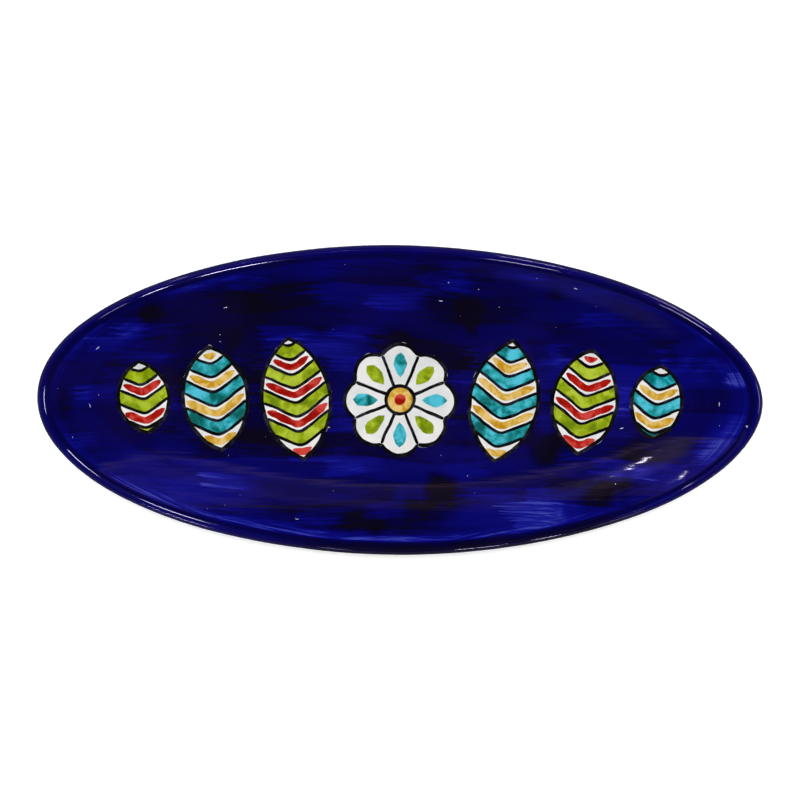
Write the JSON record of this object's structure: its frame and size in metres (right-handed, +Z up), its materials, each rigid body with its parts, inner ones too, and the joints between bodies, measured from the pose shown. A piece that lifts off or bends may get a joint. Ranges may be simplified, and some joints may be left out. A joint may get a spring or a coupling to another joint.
{
  "type": "oval serving plate",
  "caption": "Slim oval coupe plate in cobalt-glazed earthenware with a rolled lip, a bare foot ring and a painted enamel band of leaves and a rosette, for serving food at table.",
  "frame": {"origin": "on the surface the plate stands on, under the middle of the plate", "axes": "+X along the plate towards its slightly more pointed end, +Y across it, +Z up"},
  "size_m": [0.4, 0.171, 0.03],
  "materials": {
    "earthenware": "bare fired clay, matte",
    "white_ground_glaze": "glossy white ground glaze",
    "cobalt_glaze": "glossy brushed cobalt blue glaze with visible brush strokes",
    "painted_enamel": "glossy hand-painted enamel on white"
  },
  "bodies": {
    "root": {"clay_body": "earthenware", "foot_ring": "earthenware", "base_coat": "white_ground_glaze", "cobalt_coat": "cobalt_glaze", "rosette_panel": "painted_enamel", "leaf_panel_left_inner": "painted_enamel", "leaf_panel_left_middle": "painted_enamel", "leaf_panel_left_outer": "painted_enamel", "leaf_panel_right_inner": "painted_enamel", "leaf_panel_right_middle": "painted_enamel", "leaf_panel_right_outer": "painted_enamel"}
  },
  "joints": []
}
